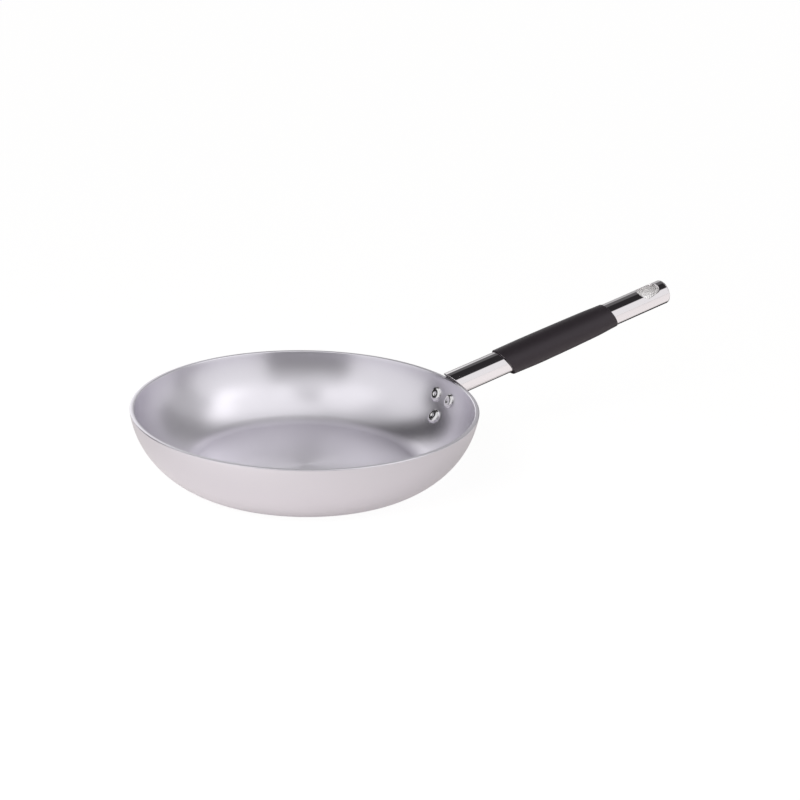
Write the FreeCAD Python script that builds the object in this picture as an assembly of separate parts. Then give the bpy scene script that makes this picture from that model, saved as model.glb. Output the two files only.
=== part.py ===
import FreeCAD, Part
import math
import os

# Omelette pan: a low flared pan of thick aluminium sheet with a tubular stainless handle.
# Millimetres and degrees. The origin is the centre of the base's underside, +Z is up and
# the handle points along +X.

# Pan body, drawn from one disc of sheet
rim_diameter = 240.0
pan_height = 48.0
sheet_thickness = 3.0
base_diameter = 154.0
corner_radius = 29.0  # outside radius of the bend from the base into the wall
corner_turn = 31.0  # how far that bend turns before the flared wall takes over
rim_edge_radius = 0.7

# Rivets: large heads inside the pan, set heads on the bracket outside
rivet_shank_diameter = 6.0
rivet_head_diameter = 11.2
rivet_head_height = 2.0
rivet_head_flat_diameter = 6.2
rivet_head_edge = 0.3  # straight side below the rounding
rivet_dimple_diameter = 3.0
rivet_dimple_depth = 0.3
set_head_diameter = 9.2
set_head_height = 1.8
set_head_flat_diameter = 4.0
upper_rivet_height = 34.35  # on the inner wall, above the base's underside
lower_rivet_height = 21.25
upper_rivet_azimuth = 4.35  # each side of the handle's middle plane

# Handle axis: where it crosses above the rim's outer edge, and how steeply it climbs
handle_axis_drop = 4.35  # below the rim's plane
handle_pitch = 13.6

# Bracket: a cast saddle on the outer wall, a flat tongue and a plug inside the tube
saddle_thickness = 2.5
saddle_margin = 8.0  # from a rivet's centre to the saddle's edge
saddle_below_rim = 3.0
saddle_corner_radius = 5.0
saddle_foot_radius = 4.8
saddle_shoulder_drop = 4.0  # below the upper rivets, where the saddle starts to narrow
tongue_width = 15.0
tongue_thickness = 8.0
tongue_edge_radius = 2.2
root_widening = 2.4  # each side of its underside, where the tongue grows out of the saddle
root_deepening = 2.0  # below, at the same place
root_length = 6.5  # from the rim's edge to where the tongue is slim
plug_start = 12.5  # along the axis, from the rim's edge
plug_length = 22.0
plug_clearance = 0.05
plug_chamfer = 1.0

# Tube, with its mouth cut slanting over the rim
tube_diameter = 19.0
tube_wall = 1.2
tube_mouth_gap = 4.1  # from the rim's edge to the mouth, along the axis
tube_mouth_slant = 35.8  # the crown reaches over the rim, and the underside stops short of it
handle_length = 201.0  # from the rim's edge to the tip

# Closed tip and hanging eye
cap_thickness = 1.6
cap_edge_radius = 1.4
eye_length = 18.2
eye_tip_margin = 7.8  # from the eye to the tip
eye_width = 15.0
eye_tip_width = 10.6
eye_corner_radius = 6.0
eye_tip_corner_radius = 4.6
eye_lip_radius = 0.6
eye_roll = 18.0  # how far the eye is turned about the tube's axis, towards -Y

# Silicone grip sleeve, stretched over the tube, thicker below than above
grip_start = 46.8  # along the axis, from the rim's edge
grip_length = 99.7
grip_start_diameter = 22.4
grip_belly_diameter = 23.1
grip_waist_diameter = 21.9
grip_end_diameter = 20.2
grip_belly_distance = 26.0  # from the end at the pan
grip_waist_distance = 20.0  # from the end at the tip
grip_start_drop = 0.55  # how far the outside sits below the tube's axis
grip_belly_drop = 0.7
grip_waist_drop = 0.4
grip_end_drop = 0.05
grip_start_slant = 24.0
grip_end_slant = 20.0
grip_clearance = 0.02
grip_edge_radius = 0.3

# Sizes that follow from the ones above
rim_radius = rim_diameter / 2
base_radius = base_diameter / 2
shank_radius = rivet_shank_diameter / 2
tube_radius = tube_diameter / 2
tube_bore_radius = tube_radius - tube_wall
overrun = 5.0  # how far a cutting shape stands past what it cuts
full_turn = 360.0
Vector = FreeCAD.Vector
ORIGIN = Vector(0, 0, 0)
X_AXIS = Vector(1, 0, 0)
Y_AXIS = Vector(0, 1, 0)
Z_AXIS = Vector(0, 0, 1)

# The wall's outer line is two arcs. The corner arc leaves the base level, and the wall arc
# leaves the corner arc without a kink and ends at the rim. Angles are the line's slope.
corner_slope = math.radians(corner_turn)
corner_end = (
    base_radius + corner_radius * math.sin(corner_slope),
    corner_radius * (1 - math.cos(corner_slope)),
)
chord_width = rim_radius - corner_end[0]
chord_height = pan_height - corner_end[1]
rim_slope = 2 * math.atan2(chord_height, chord_width) - corner_slope
wall_turn = rim_slope - corner_slope
wall_radius = math.hypot(chord_width, chord_height) / (2 * math.sin(wall_turn / 2))
wall_centre = (
    corner_end[0] - wall_radius * math.sin(corner_slope),
    corner_end[1] + wall_radius * math.cos(corner_slope),
)


def corner_point(depth, slope):
    """Point of the corner arc, depth millimetres in from the outer surface."""
    radius = corner_radius - depth
    return Vector(base_radius + radius * math.sin(slope), 0, corner_radius - radius * math.cos(slope))


def wall_point(depth, slope):
    """Point of the wall arc, depth millimetres in from the outer surface."""
    radius = wall_radius - depth
    return Vector(wall_centre[0] + radius * math.sin(slope), 0, wall_centre[1] - radius * math.cos(slope))


def wall_slope_at(depth, height):
    """Slope of the wall at a height, depth millimetres in from the outer surface."""
    return math.acos((wall_centre[1] - height) / (wall_radius - depth))


def bowl_line(depth):
    """Edges from the axis out along the floor and up the wall to the rim's plane."""
    top_slope = wall_slope_at(depth, pan_height)
    start = Vector(0, 0, depth)
    floor_edge = corner_point(depth, 0)
    corner_middle = corner_point(depth, corner_slope / 2)
    wall_foot = wall_point(depth, corner_slope)
    wall_middle = wall_point(depth, (corner_slope + top_slope) / 2)
    top = wall_point(depth, top_slope)
    return [
        Part.LineSegment(start, floor_edge).toShape(),
        Part.Arc(floor_edge, corner_middle, wall_foot).toShape(),
        Part.Arc(wall_foot, wall_middle, top).toShape(),
    ]


def spun(edges):
    """Solid of revolution about Z of a closed line in the XZ plane."""
    face = Part.Face(Part.Wire(edges))
    return face.revolve(ORIGIN, Z_AXIS, full_turn)


def bowl_shell(inner_depth, outer_depth):
    """Bowl-shaped shell between two depths, cut level at the rim."""
    inner = bowl_line(inner_depth)
    outer = bowl_line(outer_depth)
    axis_edge = Part.LineSegment(Vector(0, 0, outer_depth), Vector(0, 0, inner_depth)).toShape()
    rim_edge = Part.LineSegment(outer[-1].Vertexes[-1].Point, inner[-1].Vertexes[-1].Point).toShape()
    return spun([axis_edge] + inner + [rim_edge] + outer[::-1])


def filled_bowl():
    """Everything inside the pan's outer surface, up to the rim's plane."""
    outer = bowl_line(0)
    rim_point = outer[-1].Vertexes[-1].Point
    top_edge = Part.LineSegment(rim_point, Vector(0, 0, pan_height)).toShape()
    axis_edge = Part.LineSegment(Vector(0, 0, pan_height), ORIGIN).toShape()
    return spun(outer + [top_edge, axis_edge])


def rounded_outline(corners):
    """Closed wire in the XY plane through corners given as (x, y, corner radius)."""
    arcs = []
    for index, (x, y, radius) in enumerate(corners):
        here = Vector(x, y, 0)
        before = corners[index - 1]
        after = corners[(index + 1) % len(corners)]
        back = (Vector(before[0], before[1], 0) - here).normalize()
        ahead = (Vector(after[0], after[1], 0) - here).normalize()
        half_angle = back.getAngle(ahead) / 2
        reach = radius / math.tan(half_angle)
        to_centre = (back + ahead).normalize()
        centre = here + to_centre * (radius / math.sin(half_angle))
        arcs.append((here + back * reach, centre - to_centre * radius, here + ahead * reach))
    edges = []
    for index, (start, middle, end) in enumerate(arcs):
        next_start = arcs[(index + 1) % len(arcs)][0]
        edges.append(Part.Arc(start, middle, end).toShape())
        edges.append(Part.LineSegment(end, next_start).toShape())
    return Part.Wire(edges)


def placed(shape, placement):
    """Copy of a shape, moved from a local frame into the pan's frame."""
    moved = shape.copy()
    moved.Placement = placement.multiply(moved.Placement)
    return moved


# Handle frame: its origin is on the tube's axis above the rim's outer edge, X runs along
# the axis towards the tip and Z points to the tube's crown.
handle_frame = FreeCAD.Placement(
    Vector(rim_radius, 0, pan_height - handle_axis_drop),
    FreeCAD.Rotation(Y_AXIS, -handle_pitch),
)


def slanted_block(distance, slant, towards_tip):
    """Block in the handle frame that ends in a plane across the axis, leaning to the pan."""
    size = handle_length + 2 * tube_diameter
    start = 0 if towards_tip else -size
    block = Part.makeBox(size, 2 * size, 2 * size, Vector(start, -size, -size))
    block.rotate(ORIGIN, Y_AXIS, -slant)
    block.translate(Vector(distance, 0, 0))
    return block


def rivet_frame(azimuth, height):
    """Frame on the pan's inner wall, with Z pointing into the pan square to the wall."""
    slope = wall_slope_at(sheet_thickness, height)
    foot = wall_point(sheet_thickness, slope)
    seat = FreeCAD.Placement(foot, FreeCAD.Rotation(Z_AXIS, Vector(-math.sin(slope), 0, math.cos(slope))))
    around = FreeCAD.Placement(ORIGIN, FreeCAD.Rotation(Z_AXIS, azimuth))
    return around.multiply(seat)


rivet_frames = {
    "rivet_upper_left": rivet_frame(upper_rivet_azimuth, upper_rivet_height),
    "rivet_upper_right": rivet_frame(-upper_rivet_azimuth, upper_rivet_height),
    "rivet_lower": rivet_frame(0, lower_rivet_height),
}


def rivet_shank(frame):
    """Straight shank from inside the inner head to inside the set head."""
    grip = sheet_thickness + saddle_thickness
    start = Vector(0, 0, -grip - set_head_height / 2)
    length = grip + set_head_height / 2 + rivet_head_height / 2
    return placed(Part.makeCylinder(shank_radius, length, start), frame)


def button(diameter, flat_diameter, height, sunk):
    """Flat-topped button with an arched edge, on the XY plane and sunk a little below it."""
    radius = diameter / 2
    flat_radius = flat_diameter / 2
    arch_width = radius - flat_radius
    arch_height = height - rivet_head_edge
    arch_radius = (arch_width ** 2 + arch_height ** 2) / (2 * arch_height)
    half_angle = math.asin(arch_width / arch_radius) / 2
    arch_middle = Vector(
        flat_radius + arch_radius * math.sin(half_angle),
        0,
        height - arch_radius * (1 - math.cos(half_angle)),
    )
    foot = Vector(0, 0, -sunk)
    foot_edge = Vector(radius, 0, -sunk)
    side_top = Vector(radius, 0, rivet_head_edge)
    flat_edge = Vector(flat_radius, 0, height)
    top = Vector(0, 0, height)
    return spun([
        Part.LineSegment(foot, foot_edge).toShape(),
        Part.LineSegment(foot_edge, side_top).toShape(),
        Part.Arc(side_top, arch_middle, flat_edge).toShape(),
        Part.LineSegment(flat_edge, top).toShape(),
        Part.LineSegment(top, foot).toShape(),
    ])


def make_rivet(frame, wall, saddle):
    """One rivet: its heads are pressed to the curves that they sit on."""
    dimple_radius = rivet_dimple_diameter / 2
    ball_radius = (dimple_radius ** 2 + rivet_dimple_depth ** 2) / (2 * rivet_dimple_depth)
    ball_centre = Vector(0, 0, rivet_head_height + ball_radius - rivet_dimple_depth)
    head = button(rivet_head_diameter, rivet_head_flat_diameter, rivet_head_height, sheet_thickness / 2)
    head = placed(head.cut(Part.makeSphere(ball_radius, ball_centre)), frame).cut(wall)
    set_head = button(set_head_diameter, set_head_flat_diameter, set_head_height, saddle_thickness / 2)
    outward = FreeCAD.Placement(
        Vector(0, 0, -sheet_thickness - saddle_thickness),
        FreeCAD.Rotation(X_AXIS, full_turn / 2),
    )
    set_head = placed(set_head, frame.multiply(outward)).cut(saddle)
    return head.fuse([set_head, rivet_shank(frame)]).removeSplitter()


def make_wall_blank():
    """The pan body before its rivet holes, with the rim's edges eased."""
    blank = bowl_shell(sheet_thickness, 0)
    rim_edges = [edge for edge in blank.Edges if edge.BoundBox.ZMin > pan_height - rim_edge_radius]
    return blank.makeFillet(rim_edge_radius, rim_edges)


def make_saddle():
    """Shield-shaped plate that follows the pan's outer wall round all three rivets."""
    outside = -sheet_thickness - saddle_thickness
    upper = rivet_frames["rivet_upper_left"].multVec(Vector(0, 0, outside))
    lower = rivet_frames["rivet_lower"].multVec(Vector(0, 0, outside))
    half_width = upper.y + saddle_margin
    top = pan_height - saddle_below_rim
    shoulder = upper.z - saddle_shoulder_drop
    foot = lower.z - saddle_margin
    outline = rounded_outline([
        (-half_width, top, saddle_corner_radius),
        (-half_width, shoulder, saddle_margin),
        (-saddle_margin, foot, saddle_foot_radius),
        (saddle_margin, foot, saddle_foot_radius),
        (half_width, shoulder, saddle_margin),
        (half_width, top, saddle_corner_radius),
    ])
    stamp = Part.Face(outline).extrude(Vector(0, 0, rim_diameter))
    upright = FreeCAD.Placement(ORIGIN, FreeCAD.Rotation(Y_AXIS, Z_AXIS, X_AXIS, "ZXY"))
    return bowl_shell(0, -saddle_thickness).common(placed(stamp, upright))


def tongue_section(distance, widening, deepening):
    """Rounded section across the handle's axis: its top is the same all along the tongue."""
    half_width = tongue_width / 2
    top = tongue_thickness / 2
    bottom = -top - deepening
    section = rounded_outline([
        (-half_width, top, tongue_edge_radius),
        (-half_width - widening, bottom, tongue_edge_radius),
        (half_width + widening, bottom, tongue_edge_radius),
        (half_width, top, tongue_edge_radius),
    ])
    across = FreeCAD.Placement(
        Vector(distance, 0, 0),
        FreeCAD.Rotation(Y_AXIS, Z_AXIS, X_AXIS, "ZXY"),
    )
    return placed(section, across)


def make_bracket_blank():
    """Saddle, tongue and plug in one casting, before its rivet holes."""
    root = Part.makeLoft([
        tongue_section(-root_length, 2 * root_widening, 2 * root_deepening),
        tongue_section(0, root_widening, root_deepening),
        tongue_section(root_length, 0, 0),
    ], True)
    neck_length = plug_start + plug_chamfer - root_length
    neck = Part.Face(tongue_section(root_length, 0, 0)).extrude(Vector(neck_length, 0, 0))
    plug_radius = tube_bore_radius - plug_clearance
    plug = Part.makeCylinder(plug_radius, plug_length, Vector(plug_start, 0, 0), X_AXIS)
    plug = plug.makeChamfer(plug_chamfer, [edge for edge in plug.Edges if len(edge.Vertexes) == 1])
    tongue = placed(root.fuse([neck, plug]), handle_frame).cut(filled_bowl())
    return make_saddle().fuse(tongue).removeSplitter()


def make_tube():
    """Handle tube: slanting mouth over the rim and a through eye with rounded lips."""
    tube_length = handle_length - cap_thickness
    tube = Part.makeCylinder(tube_radius, tube_length, ORIGIN, X_AXIS)
    eye_end = handle_length - eye_tip_margin
    outline = rounded_outline([
        (eye_end - eye_length, -eye_width / 2, eye_corner_radius),
        (eye_end, -eye_tip_width / 2, eye_tip_corner_radius),
        (eye_end, eye_tip_width / 2, eye_tip_corner_radius),
        (eye_end - eye_length, eye_width / 2, eye_corner_radius),
    ])
    punch = Part.Face(outline).extrude(Vector(0, 0, 2 * tube_diameter))
    punch.translate(Vector(0, 0, -tube_diameter))
    tube = tube.cut(punch)
    middle = eye_end - eye_length / 2
    lips = [
        edge for edge in tube.Edges
        if abs(edge.CenterOfMass.x - middle) < eye_length / 2 + eye_tip_margin / 2
        and edge.BoundBox.XLength < eye_length
        and edge.BoundBox.ZMin * edge.BoundBox.ZMax > 0
    ]
    tube = tube.makeFillet(eye_lip_radius, lips)
    tube.rotate(ORIGIN, X_AXIS, eye_roll)
    bore = Part.makeCylinder(tube_bore_radius, tube_length + 2 * overrun, Vector(-overrun, 0, 0), X_AXIS)
    tube = tube.cut(bore).cut(slanted_block(tube_mouth_gap, tube_mouth_slant, False))
    return placed(tube, handle_frame)


def make_end_cap():
    """Disc that closes the tube's tip, with its outer edge rounded over."""
    start = handle_length - cap_thickness
    cap = Part.makeCylinder(tube_radius, cap_thickness, Vector(start, 0, 0), X_AXIS)
    rim = [edge for edge in cap.Edges if edge.BoundBox.XMin > start + cap_thickness / 2]
    return placed(cap.makeFillet(cap_edge_radius, rim), handle_frame)


def make_grip():
    """Sleeve lofted along the tube, with both ends cut slanting and its edges eased."""
    end = grip_start + grip_length
    stations = [
        (grip_start - tube_radius, grip_start_diameter, grip_start_drop),
        (grip_start, grip_start_diameter, grip_start_drop),
        (grip_start + grip_belly_distance, grip_belly_diameter, grip_belly_drop),
        (end - grip_waist_distance, grip_waist_diameter, grip_waist_drop),
        (end, grip_end_diameter, grip_end_drop),
        (end + tube_radius, grip_end_diameter, grip_end_drop),
    ]
    hoops = [
        Part.Wire(Part.makeCircle(diameter / 2, Vector(distance, 0, -drop), X_AXIS))
        for distance, diameter, drop in stations
    ]
    sleeve = Part.makeLoft(hoops, True)
    sleeve = sleeve.cut(slanted_block(grip_start, grip_start_slant, False))
    sleeve = sleeve.cut(slanted_block(end, grip_end_slant, True))
    end_edges = [edge for edge in sleeve.Edges if edge.Length > tube_diameter]
    sleeve = sleeve.makeFillet(grip_edge_radius, end_edges)
    bore_radius = tube_radius + grip_clearance
    bore_length = grip_length + 2 * tube_diameter
    bore = Part.makeCylinder(bore_radius, bore_length, stations[0][0] * X_AXIS, X_AXIS)
    return placed(sleeve.cut(bore), handle_frame)


wall_blank = make_wall_blank()
bracket_blank = make_bracket_blank()
shanks = [rivet_shank(frame) for frame in rivet_frames.values()]
pieces = {
    "pan_body": wall_blank.cut(shanks),
    "handle_bracket": bracket_blank.cut(shanks),
    "handle_tube": make_tube(),
    "tube_end_cap": make_end_cap(),
    "grip_sleeve": make_grip(),
}
for name, frame in rivet_frames.items():
    pieces[name] = make_rivet(frame, wall_blank, bracket_blank)

os.makedirs("parts", exist_ok=True)
for name, shape in pieces.items():
    shape.exportStep("parts/" + name + ".step")
    print(name, "solids", len(shape.Solids), "valid", shape.isValid(), "volume", round(shape.Volume, 1))
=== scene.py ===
import math

import bmesh
import bpy
from mathutils import Matrix, Vector


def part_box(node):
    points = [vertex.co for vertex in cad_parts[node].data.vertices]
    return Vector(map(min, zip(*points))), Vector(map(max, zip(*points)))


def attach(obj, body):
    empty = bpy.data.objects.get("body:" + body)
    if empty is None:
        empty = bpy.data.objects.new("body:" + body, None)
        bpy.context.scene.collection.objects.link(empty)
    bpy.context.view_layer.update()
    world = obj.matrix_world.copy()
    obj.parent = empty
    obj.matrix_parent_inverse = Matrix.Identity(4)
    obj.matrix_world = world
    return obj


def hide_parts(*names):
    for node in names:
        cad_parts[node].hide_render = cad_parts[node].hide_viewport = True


bl_info = {
    "name": "Omelette pan",
    "version": (1, 0, 0),
    "blender": (4, 5, 0),
    "location": "3D View > Sidebar > Omelette pan",
    "description": "Makes the visible pieces, finishes and studio of a riveted omelette pan",
    "category": "Object",
}

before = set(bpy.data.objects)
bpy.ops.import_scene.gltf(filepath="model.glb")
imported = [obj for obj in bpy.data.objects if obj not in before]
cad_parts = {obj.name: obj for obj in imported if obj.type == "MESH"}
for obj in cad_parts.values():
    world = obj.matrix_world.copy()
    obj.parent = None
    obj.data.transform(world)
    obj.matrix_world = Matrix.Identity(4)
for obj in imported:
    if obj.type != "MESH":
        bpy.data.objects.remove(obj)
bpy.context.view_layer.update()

MERGE_DISTANCE = 0.000002
FULL_TURN = 2 * math.pi
SHARP_ANGLE = math.radians(55)


# Sizes and finishes that a user may change

class PanSizes(bpy.types.PropertyGroup):
    """The pan itself, drawn from one disc of sheet."""

    rim_radius: bpy.props.FloatProperty(
        name="Rim radius", description="Outside radius where the wall meets the rim's plane",
        default=0.120, unit="LENGTH")
    height: bpy.props.FloatProperty(
        name="Height", description="From the base's underside to the rim's plane",
        default=round(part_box("pan_body")[1].z, 4), unit="LENGTH")
    sheet: bpy.props.FloatProperty(
        name="Sheet", description="Thickness of the aluminium", default=0.003, unit="LENGTH")
    base_radius: bpy.props.FloatProperty(
        name="Base radius", description="Radius of the flat base", default=0.077, unit="LENGTH")
    corner_radius: bpy.props.FloatProperty(
        name="Corner radius", description="Outside radius of the bend from the base into the wall",
        default=0.029, unit="LENGTH")
    corner_turn: bpy.props.FloatProperty(
        name="Corner turn", description="How far that bend turns before the flared wall begins",
        default=math.radians(31.0), subtype="ANGLE")
    rim_edge: bpy.props.FloatProperty(
        name="Rim edge", description="Radius of the rim's two edges", default=0.0007, unit="LENGTH")


class RivetSizes(bpy.types.PropertyGroup):
    """The three rivets that hold the handle."""

    head_radius: bpy.props.FloatProperty(
        name="Head radius", description="Radius of the head inside the pan",
        default=0.0056, unit="LENGTH")
    head_height: bpy.props.FloatProperty(
        name="Head height", description="Height of the head above the wall",
        default=0.0020, unit="LENGTH")
    head_flat: bpy.props.FloatProperty(
        name="Head flat", description="Radius of the head's flat top",
        default=0.0031, unit="LENGTH")
    dimple_radius: bpy.props.FloatProperty(
        name="Dimple radius", description="Radius of the press mark in the flat top",
        default=0.0015, unit="LENGTH")
    set_radius: bpy.props.FloatProperty(
        name="Set head radius", description="Radius of the head on the bracket",
        default=0.0046, unit="LENGTH")
    set_height: bpy.props.FloatProperty(
        name="Set head height", description="Height of the head on the bracket",
        default=0.0018, unit="LENGTH")
    set_flat: bpy.props.FloatProperty(
        name="Set head flat", description="Radius of that head's flat top",
        default=0.0020, unit="LENGTH")
    shank_radius: bpy.props.FloatProperty(
        name="Shank radius", description="Radius of the shank", default=0.0030, unit="LENGTH")
    saddle: bpy.props.FloatProperty(
        name="Saddle", description="Thickness of the bracket's plate",
        default=0.0025, unit="LENGTH")
    upper_height: bpy.props.FloatProperty(
        name="Upper height", description="Height of the two upper rivets on the inner wall",
        default=0.03435, unit="LENGTH")
    lower_height: bpy.props.FloatProperty(
        name="Lower height", description="Height of the lower rivet on the inner wall",
        default=0.02125, unit="LENGTH")
    azimuth: bpy.props.FloatProperty(
        name="Azimuth", description="Turn of the upper rivets from the handle's middle plane",
        default=math.radians(4.35), subtype="ANGLE")


class HandleSizes(bpy.types.PropertyGroup):
    """The steel tube, its hanging eye and its closed tip."""

    axis_drop: bpy.props.FloatProperty(
        name="Axis drop", description="How far the tube's axis passes below the rim's plane",
        default=0.00435, unit="LENGTH")
    pitch: bpy.props.FloatProperty(
        name="Pitch", description="How steeply the handle climbs", default=math.radians(13.6),
        subtype="ANGLE")
    radius: bpy.props.FloatProperty(
        name="Radius", description="Outside radius of the tube", default=0.0095, unit="LENGTH")
    wall: bpy.props.FloatProperty(
        name="Wall", description="Thickness of the tube's wall", default=0.0012, unit="LENGTH")
    length: bpy.props.FloatProperty(
        name="Length", description="From the rim to the tip, along the axis",
        default=0.201, unit="LENGTH")
    mouth_gap: bpy.props.FloatProperty(
        name="Mouth gap", description="From the rim to the mouth, along the axis",
        default=0.0041, unit="LENGTH")
    mouth_slant: bpy.props.FloatProperty(
        name="Mouth slant", description="How far the mouth leans over the rim",
        default=math.radians(35.8), subtype="ANGLE")
    cap: bpy.props.FloatProperty(
        name="Cap", description="Thickness of the disc in the tip", default=0.0016, unit="LENGTH")
    cap_edge: bpy.props.FloatProperty(
        name="Cap edge", description="Radius of the tip's edge", default=0.0014, unit="LENGTH")
    eye_length: bpy.props.FloatProperty(
        name="Eye length", description="Length of the hanging eye", default=0.0182, unit="LENGTH")
    eye_margin: bpy.props.FloatProperty(
        name="Eye margin", description="From the eye to the tip", default=0.0078, unit="LENGTH")
    eye_width: bpy.props.FloatProperty(
        name="Eye width", description="Width of the eye at its pan end",
        default=0.0150, unit="LENGTH")
    eye_tip_width: bpy.props.FloatProperty(
        name="Eye tip width", description="Width of the eye at its tip end",
        default=0.0106, unit="LENGTH")
    eye_corner: bpy.props.FloatProperty(
        name="Eye corner", description="Corner radius at the eye's pan end",
        default=0.0060, unit="LENGTH")
    eye_tip_corner: bpy.props.FloatProperty(
        name="Eye tip corner", description="Corner radius at the eye's tip end",
        default=0.0046, unit="LENGTH")
    eye_lip: bpy.props.FloatProperty(
        name="Eye lip", description="Radius of the eye's smoothed lip",
        default=0.0006, unit="LENGTH")
    eye_roll: bpy.props.FloatProperty(
        name="Eye roll", description="Turn of the eye about the tube's axis, towards -Y",
        default=math.radians(18.0), subtype="ANGLE")


class GripSizes(bpy.types.PropertyGroup):
    """The silicone sleeve."""

    start: bpy.props.FloatProperty(
        name="Start", description="From the rim to the sleeve, along the axis",
        default=0.0468, unit="LENGTH")
    length: bpy.props.FloatProperty(
        name="Length", description="Length of the sleeve", default=0.0997, unit="LENGTH")
    start_slant: bpy.props.FloatProperty(
        name="Start slant", description="How far the end near the pan leans",
        default=math.radians(24.0), subtype="ANGLE")
    end_slant: bpy.props.FloatProperty(
        name="End slant", description="How far the end near the tip leans",
        default=math.radians(20.0), subtype="ANGLE")
    edge: bpy.props.FloatProperty(
        name="Edge", description="Radius of the moulded edges", default=0.0003, unit="LENGTH")
    clearance: bpy.props.FloatProperty(
        name="Clearance", description="Between the sleeve and the tube", default=0.00002,
        unit="LENGTH", precision=5)


class Finishes(bpy.types.PropertyGroup):
    """Colours of the materials."""

    aluminium: bpy.props.FloatVectorProperty(
        name="Aluminium", description="Satin metal of the pan", size=3, min=0.0, max=1.0,
        default=(0.745, 0.725, 0.775), subtype="COLOR")
    steel: bpy.props.FloatVectorProperty(
        name="Steel", description="Polished metal of the handle", size=3, min=0.0, max=1.0,
        default=(0.80, 0.77, 0.79), subtype="COLOR")
    rivet: bpy.props.FloatVectorProperty(
        name="Rivet", description="Bright metal of the rivets", size=3, min=0.0, max=1.0,
        default=(0.74, 0.73, 0.74), subtype="COLOR")
    silicone: bpy.props.FloatVectorProperty(
        name="Silicone", description="Black of the sleeve", size=3, min=0.0, max=1.0,
        default=(0.036, 0.029, 0.034), subtype="COLOR")


class StudioSettings(bpy.types.PropertyGroup):
    """Floor, light and camera."""

    floor: bpy.props.FloatVectorProperty(
        name="Floor", description="Colour of the floor", size=3, min=0.0, max=1.0,
        default=(0.82, 0.79, 0.77), subtype="COLOR")
    floor_white: bpy.props.FloatProperty(
        name="Floor white", description="Brightness of the floor to the camera and in metal",
        default=1.1)
    floor_share: bpy.props.FloatProperty(
        name="Floor share",
        description="How much of that brightness the camera sees, without shadows",
        default=0.85, subtype="FACTOR")
    metal_share: bpy.props.FloatProperty(
        name="Metal share", description="How much of that brightness metal shows, without shadows",
        default=0.32, subtype="FACTOR")
    floor_in_metal: bpy.props.FloatVectorProperty(
        name="Floor in metal", description="Colour of the floor as metal shows it", size=3,
        min=0.0, max=1.0, default=(1.0, 0.95, 0.93), subtype="COLOR")
    camera_azimuth: bpy.props.FloatProperty(
        name="Camera azimuth", description="Turn of the camera about the pan",
        default=math.radians(-32.0), subtype="ANGLE")
    camera_elevation: bpy.props.FloatProperty(
        name="Camera elevation", description="How far the camera looks down",
        default=math.radians(19.82), subtype="ANGLE")
    camera_roll: bpy.props.FloatProperty(
        name="Camera roll", description="Turn of the camera about its own line of sight",
        default=math.radians(1.99), subtype="ANGLE")
    camera_place: bpy.props.FloatVectorProperty(
        name="Camera place", description="Where the camera stands", size=3,
        default=(-0.47373, -0.88065, 0.41286), subtype="TRANSLATION")
    lens: bpy.props.FloatProperty(
        name="Lens", description="Focal length in millimetres on a 36 mm sensor", default=69.28)


class OmelettePanSettings(bpy.types.PropertyGroup):
    """Everything that the panel lists."""

    pan: bpy.props.PointerProperty(type=PanSizes, name="Pan", description="Sizes of the pan")
    rivets: bpy.props.PointerProperty(
        type=RivetSizes, name="Rivets", description="Sizes of the rivets")
    handle: bpy.props.PointerProperty(
        type=HandleSizes, name="Handle", description="Sizes of the tube")
    grip: bpy.props.PointerProperty(type=GripSizes, name="Grip", description="Sizes of the sleeve")
    finishes: bpy.props.PointerProperty(type=Finishes, name="Finishes", description="Colours")
    studio: bpy.props.PointerProperty(
        type=StudioSettings, name="Studio", description="Floor and camera")


# Shader nodes

class Wire:
    """An output socket that adds Math nodes when it is used in a sum."""

    def __init__(self, shader, socket):
        self.shader = shader
        self.socket = socket

    def _sum(self, operation, first, second):
        return self.shader.add("Math", {"operation": operation}, {0: first, 1: second})

    def __add__(self, other):
        return self._sum("ADD", self, other)

    def __radd__(self, other):
        return self._sum("ADD", other, self)

    def __sub__(self, other):
        return self._sum("SUBTRACT", self, other)

    def __rsub__(self, other):
        return self._sum("SUBTRACT", other, self)

    def __mul__(self, other):
        return self._sum("MULTIPLY", self, other)

    def __truediv__(self, other):
        return self._sum("DIVIDE", self, other)

    def __pow__(self, other):
        return self._sum("POWER", self, other)

    def __lt__(self, other):
        return self._sum("LESS_THAN", self, other)


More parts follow.
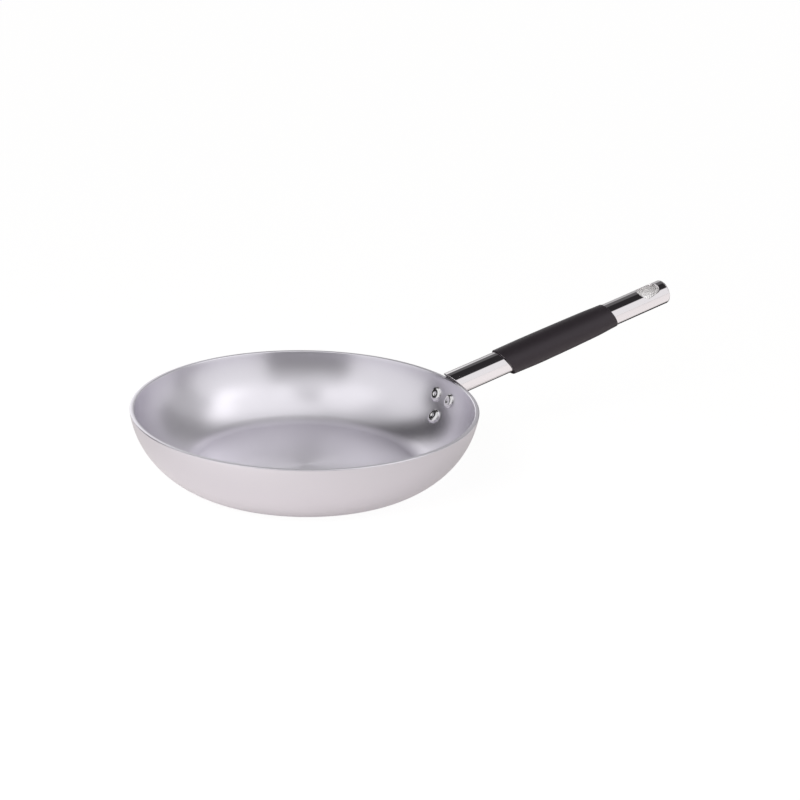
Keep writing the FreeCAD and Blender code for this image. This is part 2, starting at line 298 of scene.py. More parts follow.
class Shader:
    """Node tree of one material or of the world."""

    def __init__(self, owner):
        owner.use_nodes = True
        self.tree = owner.node_tree
        self.tree.nodes.clear()

    def add(self, kind, settings=None, inputs=None, output=0):
        """Add a node: its settings first, then the values and wires of its sockets."""
        node = self.tree.nodes.new("ShaderNode" + kind)
        for key, value in (settings or {}).items():
            setattr(node, key, value)
        for key, value in (inputs or {}).items():
            if isinstance(value, Wire):
                self.tree.links.new(value.socket, node.inputs[key])
            else:
                node.inputs[key].default_value = value
        return Wire(self, node.outputs[output]) if node.outputs else None

    def place(self, kind="Object"):
        """Where a point is in the pan's frame, or a direction in the world's, as three wires."""
        point = self.add("TexCoord", output=kind)
        return [self.add("SeparateXYZ", None, {0: point}, axis) for axis in "XYZ"]

    def noise(self, scale, detail):
        """Noise over the object, between 0 and 1."""
        point = self.add("TexCoord", output="Object")
        return self.add("TexNoise", None, {"Vector": point, "Scale": scale, "Detail": detail})

    def lines(self, along, per_metre, detail):
        """Random parallel lines, where along is the distance across them."""
        return self.add("TexNoise", {"noise_dimensions": "1D"},
                        {"W": along * per_metre, "Scale": 1.0, "Detail": detail})

    def step(self, value, low, high):
        """Smooth rise from 0 at low to 1 at high."""
        return self.add("MapRange", {"interpolation_type": "SMOOTHSTEP"},
                        {"Value": value, "From Min": low, "From Max": high})

    def blend(self, mask, dark, light):
        """Mix two colours by a mask."""
        return self.add("Mix", {"data_type": "RGBA"}, {0: mask, 6: dark, 7: light}, 2)

    def bump(self, height, depth):
        """Surface normal from a height between 0 and 1, depth metres high."""
        return self.add("Bump", None, {"Height": height, "Strength": 1.0, "Distance": depth})

    def surface(self, **values):
        """Principled surface. Names use _ for a space."""
        inputs = {key.replace("_", " "): value for key, value in values.items()}
        result = self.add("BsdfPrincipled", None, inputs)
        self.add("OutputMaterial", None, {"Surface": result})


def shade(colour, factor):
    """A colour for a node's socket, made lighter or darker."""
    return tuple(min(1.0, part * factor) for part in colour) + (1.0,)


def satin_aluminium(shader, colour):
    """Aluminium turned on a lathe: fine rings round the pan's axis under a satin sheen."""
    x, y, z = shader.place()
    radius = (x * x + y * y) ** 0.5
    rings = shader.lines(radius + z, 2600.0, 3.0)
    clouds = shader.noise(26.0, 3.0)
    tone = rings * 0.6 + clouds * 0.4
    shader.surface(
        Base_Color=shader.blend(tone, shade(colour, 0.95), shade(colour, 1.04)),
        Metallic=1.0,
        Roughness=0.26 + rings * 0.05 + clouds * 0.03,
        Anisotropic=0.6,
        Anisotropic_Rotation=0.25,
        Normal=shader.bump(rings, 0.000006),
    )


def polished_steel(shader, settings):
    """Stainless steel with a mirror polish and faint lines along the tube.

    The tube's bore is pale and dull. That is a guess, made so that it looks light through the eye.
    """
    colour = settings.finishes.steel
    x, y, z = shader.place()
    start = handle_matrix(settings).translation
    pitch = settings.handle.pitch
    across = (z - start.z) * math.cos(pitch) - (x - start.x) * math.sin(pitch)
    bore = y * y + across * across < (settings.handle.radius - settings.handle.wall * 0.9) ** 2
    lines = shader.lines(y * 1.3 + z, 1900.0, 2.0)
    haze = shader.noise(60.0, 2.0)
    shader.surface(
        Base_Color=shader.blend(bore, shader.blend(haze, shade(colour, 0.98), shade(colour, 1.02)),
                                (0.95, 0.94, 0.94, 1)),
        Metallic=1.0 - bore * 0.9,
        Roughness=0.045 + haze * 0.02 + lines * 0.012 + bore * 0.45,
    )


def cast_steel(shader, colour):
    """Cast bracket, tumbled smooth but not mirror bright."""
    grain = shader.noise(900.0, 3.0)
    clouds = shader.noise(70.0, 2.0)
    shader.surface(
        Base_Color=shader.blend(clouds, shade(colour, 0.86), shade(colour, 0.98)),
        Metallic=1.0,
        Roughness=0.26 + clouds * 0.10,
        Normal=shader.bump(grain, 0.00002),
    )


def pressed_rivet(shader, colour):
    """Bright rivet metal with the press tool's marks."""
    grain = shader.noise(1400.0, 2.0)
    shader.surface(
        Base_Color=shader.blend(grain, shade(colour, 0.94), shade(colour, 1.03)),
        Metallic=1.0,
        Roughness=0.09 + grain * 0.05,
        Normal=shader.bump(grain, 0.000008),
    )


def matte_silicone(shader, colour):
    """Black silicone with the mould's fine grain and a soft sheen."""
    grain = shader.noise(2600.0, 2.0)
    clouds = shader.noise(35.0, 3.0)
    shader.surface(
        Base_Color=shader.blend(clouds, shade(colour, 0.9), shade(colour, 1.12)),
        Roughness=0.44 + clouds * 0.06,
        Specular_IOR_Level=0.5,
        Specular_Tint=(1.0, 0.9, 1.0, 1),
        Normal=shader.bump(grain, 0.00003),
    )


# Mesh work that several pieces share

def verts_of(parts):
    """The vertices among the parts that an operator made."""
    return [part for part in parts if isinstance(part, bmesh.types.BMVert)]


def edges_of(parts):
    """The edges among the parts that an operator made."""
    return [part for part in parts if isinstance(part, bmesh.types.BMEdge)]


def line_to(mesh, start, place):
    """Draw a straight line from a vertex, and return its far end."""
    end = bmesh.ops.extrude_vert_indiv(mesh, verts=[start])["verts"][0]
    end.co = place
    return end


def arc_on(mesh, start, centre, turn, steps):
    """Carry a line on round an arc in the XZ plane, X towards Z, and return its far end."""
    made = bmesh.ops.spin(mesh, geom=[start], cent=centre, axis=(0, 1, 0), angle=-turn, steps=steps)
    return verts_of(made["geom_last"])[0]


def move(mesh, matrix):
    """Move a whole mesh by a matrix."""
    bmesh.ops.transform(mesh, matrix=matrix, verts=mesh.verts[:])


def merge_doubles(mesh):
    """Merge the vertices that lie on one another."""
    bmesh.ops.remove_doubles(mesh, verts=mesh.verts[:], dist=MERGE_DISTANCE)


def full_spin(mesh, axis, steps):
    """Spin everything round an axis through the origin."""
    bmesh.ops.spin(mesh, geom=mesh.verts[:] + mesh.edges[:], cent=(0, 0, 0), axis=axis,
                   angle=FULL_TURN, steps=steps, use_merge=True)
    merge_doubles(mesh)


def round_edges(mesh, edges, offset, segments):
    """Round the given edges."""
    bmesh.ops.bevel(mesh, geom=edges, offset=offset, segments=segments, profile=0.5,
                    affect="EDGES", material=-1)


def stand(mesh, name, material):
    """Put a mesh into the scene as an object."""
    data = bpy.data.meshes.new(name)
    mesh.to_mesh(data)
    mesh.free()
    data.materials.append(material)
    thing = bpy.data.objects.new(name, data)
    bpy.context.scene.collection.objects.link(thing)
    return thing


def finish_piece(mesh, name, material, nodes):
    """Make a smooth piece that rides on the part and stands for its solids."""
    merge_doubles(mesh)
    bmesh.ops.recalc_face_normals(mesh, faces=mesh.faces[:])
    for face in mesh.faces:
        face.smooth = True
    for edge in mesh.edges:
        edge.smooth = edge.calc_face_angle(0.0) < SHARP_ANGLE
    piece = stand(mesh, name, material)
    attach(piece, "root")
    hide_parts(*nodes)
    return piece


def even_shading(piece):
    """Let the large faces set the normals, so that flat ones look flat."""
    piece.modifiers.new("even_shading", "WEIGHTED_NORMAL").weight = 60


def shared_material(fill, values):
    """The material that a function fills, made the first time that it is asked for."""
    material = bpy.data.materials.get(fill.__name__)
    if material is None:
        material = bpy.data.materials.new(fill.__name__)
        fill(Shader(material), values)
    return material


class Wall:
    """The pan's profile: a corner arc and a wall arc, both drawn on its outer surface."""

    def __init__(self, pan):
        self.sheet = pan.sheet
        self.corner_centre = Vector((pan.base_radius, 0, pan.corner_radius))
        end_x = pan.base_radius + pan.corner_radius * math.sin(pan.corner_turn)
        end_z = pan.corner_radius * (1 - math.cos(pan.corner_turn))
        width = pan.rim_radius - end_x
        height = pan.height - end_z
        rim_slope = 2 * math.atan2(height, width) - pan.corner_turn
        self.radius = math.hypot(width, height) / (2 * math.sin((rim_slope - pan.corner_turn) / 2))
        self.centre = Vector((
            end_x - self.radius * math.sin(pan.corner_turn), 0,
            end_z + self.radius * math.cos(pan.corner_turn)))

    def slope_at(self, depth, height):
        """Slope of the wall at a height, some depth in from the outer surface."""
        return math.acos((self.centre.z - height) / (self.radius - depth))

    def point(self, depth, slope):
        """Point of the wall arc, some depth in from the outer surface."""
        reach = self.radius - depth
        return self.centre + Vector((reach * math.sin(slope), 0, -reach * math.cos(slope)))


def handle_matrix(settings):
    """From the handle's frame into the pan's: X runs along the tube and Z points to its crown."""
    start = Vector((settings.pan.rim_radius, 0, settings.pan.height - settings.handle.axis_drop))
    return Matrix.Translation(start) @ Matrix.Rotation(-settings.handle.pitch, 4, "Y")


# Operators

class MakePan(bpy.types.Operator):
    """Spin the pan's wall and floor, and ease the rim's edges"""

    bl_idname = "omelette_pan.make_pan"
    bl_label = "Pan"

    round_steps = 240
    corner_steps = 14
    wall_steps = 18
    outer_rim_steps = 6
    inner_rim_steps = 4
    floor_shares = (0.25, 0.5, 0.75, 1.0)

    def execute(self, context):
        settings = context.scene.omelette_pan
        pan = settings.pan
        wall = Wall(pan)
        mesh = bmesh.new()
        inner_slope = wall.slope_at(pan.sheet, pan.height)
        outer_slope = wall.slope_at(0.0, pan.height)
        end = mesh.verts.new((0, 0, pan.sheet))
        for share in self.floor_shares:
            end = line_to(mesh, end, (pan.base_radius * share, 0, pan.sheet))
        end = arc_on(mesh, end, wall.corner_centre, pan.corner_turn, self.corner_steps)
        end = arc_on(mesh, end, wall.centre, inner_slope - pan.corner_turn, self.wall_steps)
        end = line_to(mesh, end, wall.point(0.0, outer_slope))
        end = arc_on(mesh, end, wall.centre, pan.corner_turn - outer_slope, self.wall_steps)
        end = arc_on(mesh, end, wall.corner_centre, -pan.corner_turn, self.corner_steps)
        for share in self.floor_shares:
            end = line_to(mesh, end, (pan.base_radius * (1.0 - share), 0, 0))
        full_spin(mesh, (0, 0, 1), self.round_steps)
        middle = (wall.point(0.0, outer_slope).x + wall.point(pan.sheet, inner_slope).x) / 2
        outer, inner = [], []
        for edge in mesh.edges:
            first, second = (vert.co.xy.length for vert in edge.verts)
            on_rim = all(abs(vert.co.z - pan.height) < MERGE_DISTANCE for vert in edge.verts)
            if on_rim and abs(first - second) < MERGE_DISTANCE:
                (outer if first > middle else inner).append(edge)
        round_edges(mesh, outer, pan.rim_edge / math.tan(outer_slope / 2), self.outer_rim_steps)
        round_edges(mesh, inner, pan.rim_edge * math.tan(inner_slope / 2), self.inner_rim_steps)
        material = shared_material(satin_aluminium, settings.finishes.aluminium)
        finish_piece(mesh, "pan", material, ["pan_body"])
        return {"FINISHED"}


class MakeRivets(bpy.types.Operator):
    """Spin the three rivets and seat them square to the wall"""

    bl_idname = "omelette_pan.make_rivets"
    bl_label = "Rivets"

    round_steps = 40
    dome_steps = 9
    # Press mark: distance from the axis and depth, as shares of the dimple's radius
    press_mark = ((0.0, 0.2), (0.62, 0.14), (0.94, 0.03), (1.12, 0.0))
    # Share of a head's flat top drawn before its dome, and how far a head sinks into the plate
    flat_share = 0.9
    sunk_share = 0.3
    # Shape of a head's dome: its straight side and how full its arch is
    side_share = 0.15
    outward_power = 1.15
    upward_power = 0.85

    def execute(self, context):
        settings = context.scene.omelette_pan
        sizes = settings.rivets
        wall = Wall(settings.pan)
        material = shared_material(pressed_rivet, settings.finishes.rivet)
        seats = (
            ("rivet_left", "rivet_upper_left", sizes.azimuth, sizes.upper_height),
            ("rivet_right", "rivet_upper_right", -sizes.azimuth, sizes.upper_height),
            ("rivet_below", "rivet_lower", 0.0, sizes.lower_height),
        )
        for name, node, azimuth, height in seats:
            slope = wall.slope_at(wall.sheet, height)
            seat = (Matrix.Rotation(azimuth, 4, "Z")
                    @ Matrix.Translation(wall.point(wall.sheet, slope))
                    @ Matrix.Rotation(-slope, 4, "Y"))
            mesh = self.rivet(sizes, wall.sheet)
            move(mesh, seat)
            finish_piece(mesh, name, material, [node])
        return {"FINISHED"}

    def rivet(self, sizes, sheet):
        """One rivet about the Z axis, with the wall's inner surface at z = 0."""
        mesh = bmesh.new()
        grip = sheet + sizes.saddle
        dimple = sizes.dimple_radius
        sunk = -sheet * self.sunk_share
        set_sunk = -grip + sizes.saddle * self.sunk_share
        mark = [(dimple * away, 0, sizes.head_height - dimple * depth)
                for away, depth in self.press_mark]
        end = mesh.verts.new(mark[0])
        for place in mark[1:]:
            end = line_to(mesh, end, place)
        end = line_to(mesh, end, (sizes.head_flat * self.flat_share, 0, sizes.head_height))
        end = self.dome(mesh, end, sizes.head_radius, sizes.head_flat, sizes.head_height)
        end = line_to(mesh, end, (sizes.head_radius, 0, sunk))
        end = line_to(mesh, end, (sizes.shank_radius, 0, sunk))
        end = line_to(mesh, end, (sizes.shank_radius, 0, set_sunk))
        low = mesh.verts.new((0, 0, -grip - sizes.set_height))
        rim = line_to(mesh, low, (sizes.set_flat * self.flat_share, 0, -grip - sizes.set_height))
        rim = self.dome(mesh, rim, sizes.set_radius, sizes.set_flat, -sizes.set_height, -grip)
        rim = line_to(mesh, rim, (sizes.set_radius, 0, set_sunk))
        mesh.edges.new((end, rim))
        full_spin(mesh, (0, 0, 1), self.round_steps)
        return mesh

    def dome(self, mesh, start, radius, flat, height, base=0.0):
        """Arched edge from a flat top down to a short straight side."""
        side = self.side_share * height
        end = start
        for step in range(self.dome_steps + 1):
            angle = math.pi / 2 * step / self.dome_steps
            end = line_to(mesh, end, (
                flat + (radius - flat) * math.sin(angle) ** self.outward_power, 0,
                base + side + (height - side) * math.cos(angle) ** self.upward_power))
        return end


class MakeTube(bpy.types.Operator):
    """Roll the tube round its hanging eye, and run it on to the slanting mouth"""

    bl_idname = "omelette_pan.make_tube"
    bl_label = "Tube"

    corner_steps = 24
    side_steps = 22
    wide_end_steps = 12
    tip_end_steps = 8
    ring_cuts = 9
    # Where the rings between the eye's half and the mouth lie
    mouth_shares = (0.8, 0.6, 0.4, 0.2, 0.0)
    # Bevels, as shares of the lip's radius and of the wall
    lip_share = 0.85
    mouth_share = 0.18
    lip_steps = 3
    mouth_steps = 2

    def execute(self, context):
        settings = context.scene.omelette_pan
        sizes = settings.handle
        mesh = bmesh.new()
        for radius in (sizes.radius, sizes.radius - sizes.wall):
            skin = self.skin(sizes, radius)
            data = bpy.data.meshes.new("skin")
            skin.to_mesh(data)
            skin.free()
            mesh.from_mesh(data)
            bpy.data.meshes.remove(data)
        middle_radius = sizes.radius - sizes.wall / 2
        open_edges = [edge for edge in mesh.edges if edge.is_boundary
                      and edge.verts[0].co.yz.length > middle_radius]
        made = bmesh.ops.extrude_edge_only(mesh, edges=open_edges)["geom"]
        for vert in verts_of(made):
            self.move_to_bore(vert, sizes)
        merge_doubles(mesh)
        bmesh.ops.recalc_face_normals(mesh, faces=mesh.faces[:])
        corners = [edge for edge in mesh.edges if edge.calc_face_angle(0.0) > SHARP_ANGLE]
        half_length = sizes.length / 2
        tip = sizes.length - sizes.cap - MERGE_DISTANCE
        mouth = [edge for edge in corners if edge.verts[0].co.x < half_length]
        lips = [edge for edge in corners if half_length < edge.verts[0].co.x < tip]
        round_edges(mesh, lips, sizes.eye_lip * self.lip_share, self.lip_steps)
        round_edges(mesh, [edge for edge in mouth if edge.is_valid],
                    sizes.wall * self.mouth_share, self.mouth_steps)
        move(mesh, handle_matrix(settings))
        material = shared_material(polished_steel, settings)
        piece = finish_piece(mesh, "tube", material, ["handle_tube"])
        self.true_normals(piece.data, handle_matrix(settings), sizes)
        return {"FINISHED"}

    def true_normals(self, data, placing, sizes):
        """Give the round surfaces a true cylinder's normals, so that reflections run straight."""
        into_handle = placing.inverted()
        turn = placing.to_3x3()
        normals = []
        for vert in data.vertices:
            place = into_handle @ vert.co
            reach = math.hypot(place.y, place.z)
            away = Vector((0, place.y, place.z)) / reach
            if abs(reach - sizes.radius) < MERGE_DISTANCE:
                normals.append(turn @ away)
            elif abs(reach - sizes.radius + sizes.wall) < MERGE_DISTANCE:
                normals.append(turn @ -away)
            else:
                normals.append(vert.normal.copy())
        data.normals_split_custom_set_from_vertices(normals)

    def move_to_bore(self, vert, sizes):
        """Move a vertex of the outer skin's open edges square through the wall to the bore."""
        bore = sizes.radius - sizes.wall
        tip = sizes.length - sizes.cap - MERGE_DISTANCE
        if vert.co.x > sizes.length / 2 and vert.co.x < tip:
            roll = Matrix.Rotation(sizes.eye_roll, 3, "X")
            place = roll.inverted() @ vert.co
            place.z = math.copysign(math.sqrt(bore ** 2 - place.y ** 2), place.z)
            vert.co = roll @ place
            return
        vert.co.yz = vert.co.yz * (bore / sizes.radius)
        if vert.co.x < tip:
            vert.co.x = self.mouth_at(vert, sizes)

    def mouth_at(self, vert, sizes):
        """Where the slanting mouth is along the tube, at a vertex's height."""
        return sizes.mouth_gap - vert.co.z * math.tan(sizes.mouth_slant)

    def skin(self, sizes, radius):
        """One surface of the tube, at a radius, in the handle's frame."""
        mesh = self.eye_sheet(sizes, radius)
        for vert in mesh.verts:
            angle = vert.co.y
            vert.co = Vector((vert.co.x, radius * math.sin(angle), radius * math.cos(angle)))
        copy = bmesh.ops.duplicate(mesh, geom=mesh.verts[:] + mesh.edges[:] + mesh.faces[:])
        bmesh.ops.rotate(mesh, cent=(0, 0, 0), matrix=Matrix.Rotation(math.pi, 3, "X"),
                         verts=verts_of(copy["geom"]))
        move(mesh, Matrix.Rotation(sizes.eye_roll, 4, "X"))
        merge_doubles(mesh)
        start = min(vert.co.x for vert in mesh.verts)
        ring = [edge for edge in mesh.edges if edge.is_boundary
                and all(vert.co.x < start + MERGE_DISTANCE for vert in edge.verts)]
        for share in self.mouth_shares:
            made = bmesh.ops.extrude_edge_only(mesh, edges=ring)["geom"]
            ring = edges_of(made)
            for vert in verts_of(made):
                mouth = self.mouth_at(vert, sizes)
                vert.co.x = mouth + (start - mouth) * share
        return mesh

    def eye_sheet(self, sizes, radius):
        """Half of the tube laid flat, x along it and y its angle, with the eye cut out."""
        mesh = bmesh.new()
        eye_end = sizes.length - sizes.eye_margin
        eye_start = eye_end - sizes.eye_length
        corners = [mesh.verts.new(place) for place in (
            (eye_start, -sizes.eye_width / 2, 0), (eye_end, -sizes.eye_tip_width / 2, 0),
            (eye_end, sizes.eye_tip_width / 2, 0), (eye_start, sizes.eye_width / 2, 0))]
        mesh.faces.new(corners)
        lean = math.atan2((sizes.eye_width - sizes.eye_tip_width) / 2, sizes.eye_length)
        wide_reach = sizes.eye_corner / math.tan((math.pi / 2 - lean) / 2)
        tip_reach = sizes.eye_tip_corner / math.tan((math.pi / 2 + lean) / 2)
        ends = (((corners[0], corners[3]), wide_reach), ((corners[1], corners[2]), tip_reach))
        for pair, reach in ends:
            bmesh.ops.bevel(mesh, geom=list(pair), offset=reach, segments=self.corner_steps,
                            profile=0.5, affect="VERTICES", material=-1)
        for side, steps in self.straight_sides(mesh, sizes):
            bmesh.ops.subdivide_edges(mesh, edges=[side], cuts=steps - 1)
        for vert in mesh.verts:
            vert.co.y = math.asin(vert.co.y / radius)
        bmesh.ops.delete(mesh, geom=mesh.faces[:], context="FACES_ONLY")
        count = len(mesh.verts) // 4
        low, high = eye_start - sizes.eye_margin * 0.8, sizes.length - sizes.cap
        quarter = math.pi / 2
        frame_corners = [mesh.verts.new(place) for place in (
            (low, -quarter, 0), (high, -quarter, 0), (high, quarter, 0), (low, quarter, 0))]
        border = [mesh.edges.new((frame_corners[index - 1], frame_corners[index]))
                  for index in range(4)]
        bmesh.ops.subdivide_edges(mesh, edges=border, cuts=count - 1)
        made = bmesh.ops.bridge_loops(mesh, edges=mesh.edges[:])
        bmesh.ops.subdivide_edges(mesh, edges=list(made["edges"]), cuts=self.ring_cuts,
                                  use_grid_fill=True)
        return mesh

    def straight_sides(self, mesh, sizes):
        """The eye outline's four longest edges, each with how many steps it gets."""
        edges = sorted(mesh.edges, key=lambda edge: edge.calc_length())[-4:]
        sides = []
        for edge in edges:
            across = abs(edge.verts[0].co.x - edge.verts[1].co.x) < MERGE_DISTANCE
            near_tip = edge.verts[0].co.x > sizes.length - sizes.eye_margin - sizes.eye_length / 2
            end_steps = self.tip_end_steps if near_tip else self.wide_end_steps
            sides.append((edge, end_steps if across else self.side_steps))
        return sides


class MakeEndCap(bpy.types.Operator):
    """Spin the disc that closes the tube's tip"""

    bl_idname = "omelette_pan.make_end_cap"
    bl_label = "End cap"

    round_steps = 80
    edge_steps = 7
    face_shares = (0.75, 0.5, 0.25, 0.0)

    def execute(self, context):
        settings = context.scene.omelette_pan
        sizes = settings.handle
        mesh = bmesh.new()
        inside = sizes.length - sizes.cap
        end = mesh.verts.new((inside, 0, 0))
        end = line_to(mesh, end, (inside, 0, sizes.radius * 0.5))
        end = line_to(mesh, end, (inside, 0, sizes.radius))
        end = line_to(mesh, end, (sizes.length - sizes.cap_edge, 0, sizes.radius))
        end = arc_on(mesh, end, (sizes.length - sizes.cap_edge, 0, sizes.radius - sizes.cap_edge),
                     -math.pi / 2, self.edge_steps)
        for share in self.face_shares:
            end = line_to(mesh, end, (sizes.length, 0, (sizes.radius - sizes.cap_edge) * share))
        full_spin(mesh, (1, 0, 0), self.round_steps)
        move(mesh, handle_matrix(settings))
        material = shared_material(polished_steel, settings)
        piece = finish_piece(mesh, "end_cap", material, ["tube_end_cap"])
        even_shading(piece)
        return {"FINISHED"}


class MakeGrip(bpy.types.Operator):
    """Draw the silicone sleeve ring by ring, thicker below than above"""

    bl_idname = "omelette_pan.make_grip"
    bl_label = "Grip"

    rings = 72
    round_steps = 96
    edge_steps = 3
    end_angle = math.radians(40)
    # Along the sleeve: share of its length, diameter, how far its outside sits below the axis
    stations = (
        (-0.0953, 0.0224, 0.00055),
        (0.0, 0.0224, 0.00055),
        (0.2608, 0.0231, 0.0007),
        (0.7994, 0.0219, 0.0004),
        (1.0, 0.0202, 0.00005),
        (1.0953, 0.0202, 0.00005),
    )

    def execute(self, context):
        settings = context.scene.omelette_pan
        grip = settings.grip
        bore = settings.handle.radius + grip.clearance
        mesh = bmesh.new()
        made = bmesh.ops.create_circle(mesh, radius=bore, segments=self.round_steps)
        move(mesh, Matrix.Rotation(math.pi / 2, 4, "Y"))
        ring = mesh.edges[:]
        hoops = [(made["verts"], 0.0, bore)]
        outside = [(step / self.rings, None) for step in range(self.rings + 1)]
        for share, radius in outside + [(1.0, bore), (0.0, bore)]:
            ring, verts = self.next_ring(mesh, ring)
            hoops.append((verts, share, radius))
        for verts, share, radius in hoops:
            self.place_ring(verts, grip, share, radius)
        merge_doubles(mesh)
        ends = [edge for edge in mesh.edges if len(edge.link_faces) == 2
                and edge.calc_face_angle(0.0) > self.end_angle]
        outer = [edge for edge in ends
                 if all(math.hypot(vert.co.y, vert.co.z) > bore + grip.edge for vert in edge.verts)]
        round_edges(mesh, outer, grip.edge, self.edge_steps)
        move(mesh, handle_matrix(settings))
        material = shared_material(matte_silicone, settings.finishes.silicone)
        piece = finish_piece(mesh, "grip", material, ["grip_sleeve"])
        even_shading(piece)
        return {"FINISHED"}

    def next_ring(self, mesh, ring):
        """Extrude a ring of edges, and return the new ring and its vertices."""
        made = bmesh.ops.extrude_edge_only(mesh, edges=ring)["geom"]
        return edges_of(made), verts_of(made)

    def place_ring(self, verts, grip, share, bore):
        """Move a ring to its share of the sleeve's length, on the bore or on the outside."""
        radius, drop = (bore, 0.0) if bore else self.outside(share)
        for vert in verts:
            angle = math.atan2(vert.co.y, vert.co.z)
            height = radius * math.cos(angle) - drop
            start = grip.start - height * math.tan(grip.start_slant)
            end = grip.start + grip.length - height * math.tan(grip.end_slant)
            vert.co = Vector((start + (end - start) * share, radius * math.sin(angle), height))

    def outside(self, share):
        """Radius and drop of the outside at a share of the length, smooth through the stations."""
        stations = self.stations
        index = max(i for i in range(1, len(stations) - 2) if stations[i][0] <= share or i == 1)
        before, low, high, after = stations[index - 1:index + 3]
        span = high[0] - low[0]
        part = (share - low[0]) / span
        values = []
        for column in (1, 2):
            rise = (high[column] - before[column]) / (high[0] - before[0]) * span
            fall = (after[column] - low[column]) / (after[0] - low[0]) * span
            values.append(
                low[column] * (2 * part ** 3 - 3 * part ** 2 + 1)
                + rise * (part ** 3 - 2 * part ** 2 + part)
                + high[column] * (3 * part ** 2 - 2 * part ** 3)
                + fall * (part ** 3 - part ** 2))
        return values[0] / 2, values[1]


class DressBracket(bpy.types.Operator):
    """Give the cast bracket its finish"""

    bl_idname = "omelette_pan.dress_bracket"
    bl_label = "Bracket"

    def execute(self, context):
        finishes = context.scene.omelette_pan.finishes
        material = shared_material(cast_steel, finishes.steel)
        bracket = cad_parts["handle_bracket"]
        bracket.data.materials.clear()
        bracket.data.materials.append(material)
        return {"FINISHED"}


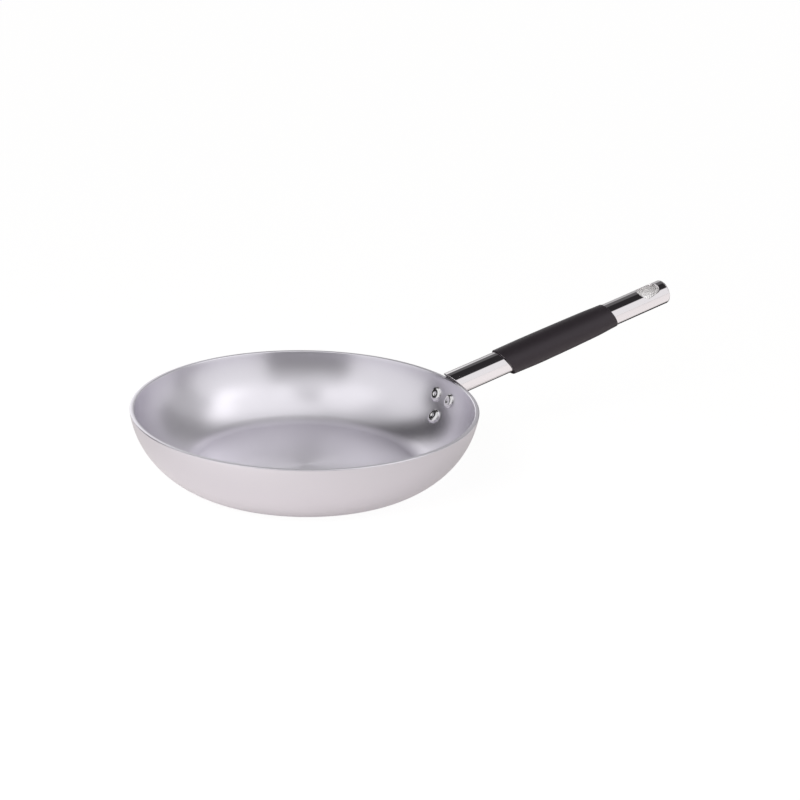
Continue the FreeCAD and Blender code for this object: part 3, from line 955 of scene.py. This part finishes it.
class MakeStudio(bpy.types.Operator):
    """Lay the floor, light the scene and set up the camera"""

    bl_idname = "omelette_pan.make_studio"
    bl_label = "Studio"

    # Light panels in degrees: azimuth, reach to each side, lowest, highest, softness, radiance
    panels = (
        (177.0, 33.0, -5.0, 22.0, 4.0, 0.96),
        (168.0, 42.0, 22.0, 50.0, 4.0, 0.96),
        (172.0, 52.0, 50.0, 78.0, 4.0, 0.74),
        (-120.0, 30.0, -5.0, 22.0, 4.0, 0.18),
        (-120.0, 30.0, 22.0, 60.0, 4.0, 0.50),
        (-60.0, 30.0, -5.0, 47.0, 3.0, 0.94),
        (-15.0, 15.0, 10.0, 58.0, 3.0, 0.56),
        (0.0, 30.0, -5.0, 10.0, 3.0, 1.00),
        (15.0, 15.0, 10.0, 50.0, 3.0, 0.29),
        (60.0, 30.0, -5.0, 22.0, 4.0, 0.45),
        (60.0, 30.0, 22.0, 37.0, 3.0, 0.52),
        (60.0, 30.0, 37.0, 66.0, 3.0, 0.11),
        (82.0, 14.0, -5.0, 37.0, 4.0, 0.85),
        (105.0, 15.0, -5.0, 10.0, 3.0, 1.20),
    )
    # Light that fills the space between the panels
    gloom = (1.0, 0.93, 1.0, 1)
    gloom_strength = 0.03
    floor_radius = 8.0
    floor_steps = 96
    floor_level = -0.0002
    # Corners in metres of the black card that paints a dark reflection along the tube's underside
    dark_reflection_card_corners = ((0.13, 0.012), (0.60, 0.34))
    # Area lamps: what they light, centre, tilt and turn in degrees, width, depth, radiance
    softboxes = (
        ("pan", (0.36, -0.275, 0.90), 0.0, 0.0, 0.92, 0.95, 1.12),
        ("bowl", (-0.50, -0.40, 0.90), 0.0, 0.0, 0.80, 1.20, 0.40),
        ("bowl", (0.30, 0.40, 0.90), 0.0, 0.0, 0.80, 0.40, 0.34),
        ("floor", (-0.43, -0.27, 0.40), 0.0, 0.0, 0.40, 0.40, 6.0),
        ("handle", (0.30, -1.51, 0.001), 180.0, 0.0, 3.00, 3.00, 0.35),
        ("bore", (-0.05, -0.35, 0.58), 45.0, -45.0, 0.60, 0.60, 4.0),
    )
    lit_pieces = {
        "pan": ("pan", "rivet_left", "rivet_right", "rivet_below"),
        "bowl": ("pan",),
        "floor": ("floor",),
        "handle": ("tube", "end_cap"),
        "bore": ("tube",),
    }

    def execute(self, context):
        studio = context.scene.omelette_pan.studio
        self.floor(studio)
        self.world(context)
        self.overhead(context)
        self.flag()
        self.camera(context, studio)
        context.scene.view_settings.view_transform = "Standard"
        return {"FINISHED"}

    def floor(self, studio):
        """Pale disc, lighter to the camera and in metal than its own shading would be."""
        mesh = bmesh.new()
        bmesh.ops.create_circle(mesh, cap_ends=True, radius=self.floor_radius,
                                segments=self.floor_steps,
                                matrix=Matrix.Translation((0, 0, self.floor_level)))
        material = bpy.data.materials.new("floor")
        shader = Shader(material)
        camera, glossy, through = (shader.add("LightPath", output=f"Is {kind} Ray")
                                   for kind in ("Camera", "Glossy", "Transmission"))
        matte = shader.add("BsdfDiffuse", None, {"Color": shade(studio.floor, 1.0)})
        tint = shader.blend(camera, shade(studio.floor_in_metal, 1.0), (1, 1, 1, 1))
        white = shader.add("Emission", None, {"Color": tint, "Strength": studio.floor_white})
        seen = (camera + through) * studio.floor_share + glossy * studio.metal_share
        mixed = shader.add("MixShader", None, {0: seen, 1: matte, 2: white})
        shader.add("OutputMaterial", None, {"Surface": mixed})
        stand(mesh, "floor", material)

    def world(self, context):
        """Dark surroundings with soft panels at the sides, which the camera sees as plain white."""
        world = bpy.data.worlds.new("studio")
        context.scene.world = world
        shader = Shader(world)
        x, y, z = shader.place("Generated")
        level = (x * x + y * y + 0.0001) ** 0.5
        light = 0.0
        for *angles, radiance in self.panels:
            middle, reach, low, high, softness = (math.radians(angle) for angle in angles)
            turned = (x * math.cos(middle) + y * math.sin(middle)) / level
            sides = shader.step(turned, math.cos(reach + softness), math.cos(reach - softness))
            above = shader.step(z, math.sin(low - softness), math.sin(low + softness))
            below = shader.step(z, math.sin(high + softness), math.sin(high - softness))
            light += sides * above * below * radiance
        back = shader.add("Background", None, {"Color": (1, 1, 1, 1), "Strength": light})
        gloom = shader.add("Background", None,
                           {"Color": self.gloom, "Strength": self.gloom_strength})
        both = shader.add("AddShader", None, {0: back, 1: gloom})
        white = shader.add("Background", None, {"Color": (1, 1, 1, 1), "Strength": 1.0})
        camera = shader.add("LightPath", output="Is Camera Ray")
        seen = shader.add("MixShader", None, {0: camera, 1: both, 2: white})
        shader.add("OutputWorld", None, {"Surface": seen})

    def overhead(self, context):
        """Area lamps, each linked to the objects that it may light and to no others."""
        lit = {}
        for group, names in self.lit_pieces.items():
            lit[group] = bpy.data.collections.new("lit_" + group)
            for name in names:
                lit[group].objects.link(bpy.data.objects[name])
        for group, place, tilt, turn, width, depth, radiance in self.softboxes:
            lamp = bpy.data.lights.new("softbox", "AREA")
            lamp.shape = "RECTANGLE"
            lamp.size, lamp.size_y = width, depth
            lamp.energy = radiance * math.pi * width * depth
            softbox = bpy.data.objects.new("softbox", lamp)
            softbox.location = place
            softbox.rotation_euler = (math.radians(tilt), 0.0, math.radians(turn))
            context.scene.collection.objects.link(softbox)
            softbox.light_linking.receiver_collection = lit[group]

    def flag(self):
        """Black card on the floor under the handle, seen only in reflections: it paints a dark
        reflection along the tube's underside.
        """
        mesh = bmesh.new()
        low, high = self.dark_reflection_card_corners
        bmesh.ops.create_grid(mesh, x_segments=1, y_segments=1, size=0.5)
        bmesh.ops.scale(mesh, vec=(high[0] - low[0], high[1] - low[1], 1.0), verts=mesh.verts[:])
        bmesh.ops.translate(mesh, vec=((low[0] + high[0]) / 2, (low[1] + high[1]) / 2, 0.0),
                            verts=mesh.verts[:])
        material = bpy.data.materials.new("flag")
        shader = Shader(material)
        black = shader.add("BsdfDiffuse", None, {"Color": (0.01, 0.01, 0.01, 1)})
        shader.add("OutputMaterial", None, {"Surface": black})
        flag = stand(mesh, "flag", material)
        # Only reflections see the card, so all it adds is a painted dark reflection
        flag.visible_camera = flag.visible_diffuse = flag.visible_shadow = False

    def camera(self, context, studio):
        """Camera as fitted to the photo."""
        data = bpy.data.cameras.new("camera")
        data.sensor_width = 36.0
        data.lens = studio.lens
        camera = bpy.data.objects.new("camera", data)
        context.scene.collection.objects.link(camera)
        camera.matrix_world = (
            Matrix.Translation(studio.camera_place)
            @ Matrix.Rotation(studio.camera_azimuth, 4, "Z")
            @ Matrix.Rotation(math.pi / 2 - studio.camera_elevation, 4, "X")
            @ Matrix.Rotation(studio.camera_roll, 4, "Z"))
        context.scene.camera = camera


class OmelettePanPanel(bpy.types.Panel):
    """Lists the pieces and their sizes"""

    bl_idname = "VIEW3D_PT_omelette_pan"
    bl_label = "Omelette pan"
    bl_space_type = "VIEW_3D"
    bl_region_type = "UI"
    bl_category = "Omelette pan"

    def draw(self, context):
        settings = context.scene.omelette_pan
        for operator in OPERATORS:
            self.layout.operator(operator.bl_idname)
        for name in settings.__annotations__:
            box = self.layout.box()
            box.label(text=name.capitalize())
            group = getattr(settings, name)
            for key in group.__annotations__:
                box.prop(group, key)


GROUPS = (PanSizes, RivetSizes, HandleSizes, GripSizes, Finishes, StudioSettings,
          OmelettePanSettings)
OPERATORS = (MakePan, MakeRivets, MakeTube, MakeEndCap, MakeGrip, DressBracket, MakeStudio)


def register():
    for part in GROUPS + OPERATORS + (OmelettePanPanel,):
        bpy.utils.register_class(part)
    bpy.types.Scene.omelette_pan = bpy.props.PointerProperty(
        type=OmelettePanSettings, name="Omelette pan", description="Sizes and finishes of the pan")


def unregister():
    del bpy.types.Scene.omelette_pan
    for part in reversed(GROUPS + OPERATORS + (OmelettePanPanel,)):
        bpy.utils.unregister_class(part)


def main():
    register()
    bpy.ops.omelette_pan.make_pan()
    bpy.ops.omelette_pan.make_rivets()
    bpy.ops.omelette_pan.make_tube()
    bpy.ops.omelette_pan.make_end_cap()
    bpy.ops.omelette_pan.make_grip()
    bpy.ops.omelette_pan.dress_bracket()
    bpy.ops.omelette_pan.make_studio()


if __name__ == "__main__":
    main()
